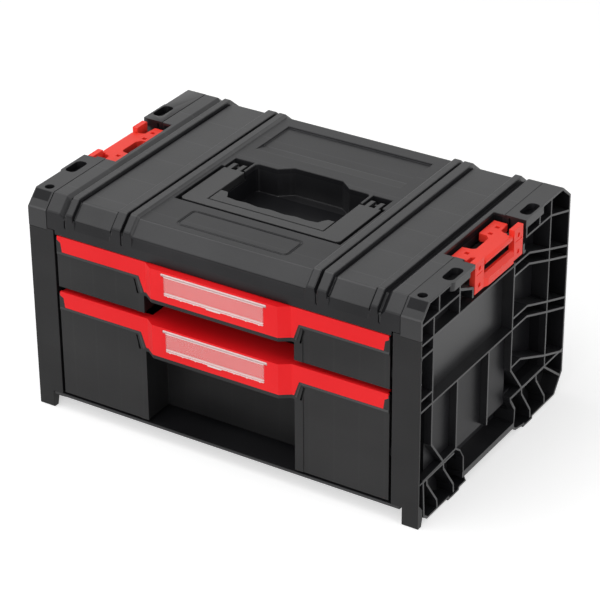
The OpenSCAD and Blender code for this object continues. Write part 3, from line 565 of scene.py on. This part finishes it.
def round_edges(piece, width, clamp, merge):
    """Rounds a solid's edges by width, in metres.

    clamp keeps roundings from running into each other, and merge joins flat faces first.
    """
    weld = piece.modifiers.new("join", "WELD")
    weld.merge_threshold = SAME_POINT
    if merge:
        flat = piece.modifiers.new("flats", "DECIMATE")
        flat.decimate_type = "DISSOLVE"
        flat.angle_limit = FLAT_ANGLE
    edge = piece.modifiers.new("edges", "BEVEL")
    edge.width = width
    edge.segments = 2
    edge.limit_method = "ANGLE"
    edge.angle_limit = SHARP_ANGLE
    edge.use_clamp_overlap = clamp


for name, piece in nodes.items():
    finish = finishes.get(name) or finishes[slots[name]]
    piece.data.materials.clear()
    piece.data.materials.append(finish)
    if slots[name] in EDGE:
        crowded = any(word in name for word in CROWDED)
        round_edges(piece, EDGE[slots[name]] * MM, crowded, name != "back_panel")
print("dressed:", len(nodes))

# %% [markdown]
# ## Nubs grown with Geometry Nodes
#
# The clear flaps have a row of small nubs under their lower edge, which a fingernail catches,
# and the front rim of each side panel has three small stops. Both are the same thing: a round
# nub with drafted sides, repeated along a line. The node group below makes one such row from
# its count, start, step, size and turn.

# %% A row of nubs
NUB_SIDES = 14
TOP_SHARE = 0.7
row = bpy.data.node_groups.new("nub_row", "GeometryNodeTree")
row.interface.new_socket("Geometry", in_out="OUTPUT", socket_type="NodeSocketGeometry")
SOCKETS = {}
for title, kind in (("Count", "Int"), ("Start", "Vector"), ("Step", "Vector"),
                    ("Size", "Vector"), ("Turn", "Vector"), ("Material", "Material")):
    socket = row.interface.new_socket(title, in_out="INPUT", socket_type="NodeSocket" + kind)
    SOCKETS[title] = socket.identifier
given = row.nodes.new("NodeGroupInput")
line = row.nodes.new("GeometryNodeMeshLine")
line.mode = "OFFSET"
disc = row.nodes.new("GeometryNodeMeshCircle")
disc.fill_type = "NGON"
disc.inputs["Vertices"].default_value = NUB_SIDES
disc.inputs["Radius"].default_value = 0.5
raise_top = row.nodes.new("GeometryNodeExtrudeMesh")
raise_top.mode = "FACES"
raise_top.inputs["Offset Scale"].default_value = 1.0
draft = row.nodes.new("GeometryNodeScaleElements")
draft.inputs["Scale"].default_value = TOP_SHARE
turned_over = row.nodes.new("GeometryNodeFlipFaces")
both = row.nodes.new("GeometryNodeJoinGeometry")
closed = row.nodes.new("GeometryNodeMergeByDistance")
spread = row.nodes.new("GeometryNodeInstanceOnPoints")
real = row.nodes.new("GeometryNodeRealizeInstances")
dress = row.nodes.new("GeometryNodeSetMaterial")
out = row.nodes.new("NodeGroupOutput")
for source, name, target, socket in (
        (given, "Count", line, "Count"), (given, "Start", line, "Start Location"),
        (given, "Step", line, "Offset"),
        (disc, "Mesh", raise_top, "Mesh"), (raise_top, "Mesh", draft, "Geometry"),
        (raise_top, "Top", draft, "Selection"), (disc, "Mesh", turned_over, "Mesh"),
        (draft, "Geometry", both, "Geometry"), (turned_over, "Mesh", both, "Geometry"),
        (both, "Geometry", closed, "Geometry"), (line, "Mesh", spread, "Points"),
        (closed, "Geometry", spread, "Instance"), (given, "Turn", spread, "Rotation"),
        (given, "Size", spread, "Scale"), (spread, "Instances", real, "Geometry"),
        (real, "Geometry", dress, "Geometry"), (given, "Material", dress, "Material"),
        (dress, "Geometry", out, "Geometry")):
    row.links.new(source.outputs[name], target.inputs[socket])
print("nub_row inputs:", sorted(SOCKETS))

# %% [markdown]
# ## Growing the rows
#
# Each row grows on an empty seed object. The inputs are set by socket identifier before the
# first evaluation, the result is copied to a plain mesh, and the modifier is removed. The rows
# of one piece are joined into one mesh, because a piece rides on one body.

# %% Growing the rows


def grow(name, rows, finish, body):
    """Grows one piece from several rows (count, start, step, size, turn), in mm and degrees."""
    joined = bmesh.new()
    for count, start, step, size, turn in rows:
        seed = bpy.data.objects.new("seed", bpy.data.meshes.new("seed"))
        scene.collection.objects.link(seed)
        grown = seed.modifiers.new("row", "NODES")
        grown.node_group = row
        grown[SOCKETS["Count"]] = count
        for title, values, unit in (("Start", start, MM), ("Step", step, MM), ("Size", size, MM),
                                    ("Turn", turn, math.pi / 180)):
            grown[SOCKETS[title]] = [value * unit for value in values]
        grown[SOCKETS["Material"]] = finish
        evaluated = seed.evaluated_get(bpy.context.evaluated_depsgraph_get())
        result_mesh = bpy.data.meshes.new_from_object(evaluated)
        seed.modifiers.remove(grown)
        joined.from_mesh(result_mesh)
        bpy.data.objects.remove(seed)
    bmesh.ops.recalc_face_normals(joined, faces=joined.faces)
    mesh = bpy.data.meshes.new(name)
    joined.to_mesh(mesh)
    joined.free()
    mesh.materials.append(finish)
    piece = bpy.data.objects.new(name, mesh)
    scene.collection.objects.link(piece)
    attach(piece, body)
    print(name, "faces:", len(mesh.polygons))


FIRST_NUB, NUB_STEP, NUB_SIZE = 22.5, 15.0, (2.4, 0.7, 1.0)
NUB_INWARD, NUB_UP = 0.4, 1.4
STOP_PLACE, STOP_STEP, STOP_SIZE = (224.9, -145.6, 162.3), 13.0, (2.6, 1.6, 0.7)
SIDES = (-1, 1)
IN_ROW = 3

for level_name in ("upper", "lower"):
    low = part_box(level_name + "_label_window")[0] / MM
    nubs = []
    for sign in SIDES:
        start = (sign * FIRST_NUB, low.y + NUB_INWARD, low.z + NUB_UP)
        nubs.append((IN_ROW, start, (sign * NUB_STEP, 0, 0), NUB_SIZE, (180, 0, 0)))
    grow(level_name + "_label_nubs", nubs, finishes[level_name + "_label_window"],
         level_name + "_label")
stops = []
for sign in SIDES:
    start = (sign * STOP_PLACE[0], *STOP_PLACE[1:])
    stops.append((IN_ROW, start, (0, 0, STOP_STEP), STOP_SIZE, (0, sign * 90, 0)))
grow("panel_rim_stops", stops, finishes["black_body"], "case")

# %% [markdown]
# ## Beads on the drawer fronts
#
# A raised bead follows the upper edge of each drawer front under the red band, and turns down
# beside the bump. It is swept by hand: at each corner of its path the section is turned to the
# mean direction, which mitres it.

# %% Beads
SHARPEST = 0.3


def sweep(joined, path, section, face):
    """Sweeps a section of (aside, proud) pairs along a path of (x, z), in millimetres.

    The path lies on the plane y = face.
    """
    rings = []
    for index, (x, z) in enumerate(path):
        ways = []
        for a, b in ((index - 1, index), (index, index + 1)):
            if a >= 0 and b < len(path):
                ways.append((Vector(path[b]) - Vector(path[a])).normalized())
        way = sum(ways, Vector((0, 0))).normalized()
        aside = Vector((-way.y, way.x)) / max(way.dot(ways[0]), SHARPEST)
        ring = []
        for s, proud in section:
            point = Vector((x + aside.x * s, face - proud, z + aside.y * s))
            ring.append(joined.verts.new(point * MM))
        rings.append(ring)
    for one, two in zip(rings, rings[1:]):
        for i in range(len(section)):
            j = (i + 1) % len(section)
            joined.faces.new((one[i], one[j], two[j], two[i]))
    joined.faces.new(rings[0])
    joined.faces.new(list(reversed(rings[-1])))


BEAD = [(-1.1, -0.65), (-1.1, 0.05), (0.6, 0.75), (0.9, 0.7), (1.1, 0.4), (1.1, -0.65)]
BAND_HEIGHT, UNDER_BAND = 17.4, 1.3
OUTER_X, CORNER_X, INNER_X, TURNED_DOWN = 191.5, 94.2, 89.0, 16.5
FRONT_Y = -147.0
for level_name in ("upper", "lower"):
    edge_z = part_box(level_name + "_drawer_band")[1].z / MM - BAND_HEIGHT - UNDER_BAND
    joined = bmesh.new()
    for sign in SIDES:
        path = [(sign * OUTER_X, edge_z), (sign * CORNER_X, edge_z),
                (sign * INNER_X, edge_z - TURNED_DOWN)]
        section = [(s * sign, proud) for s, proud in BEAD]
        sweep(joined, path, section, FRONT_Y)
    bmesh.ops.recalc_face_normals(joined, faces=joined.faces)
    mesh = bpy.data.meshes.new(level_name + "_front_bead")
    joined.to_mesh(mesh)
    joined.free()
    mesh.materials.append(finishes["black_edge"])
    bead = bpy.data.objects.new(level_name + "_front_bead", mesh)
    scene.collection.objects.link(bead)
    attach(bead, level_name + "_drawer")
    print(bead.name, "faces:", len(mesh.polygons))
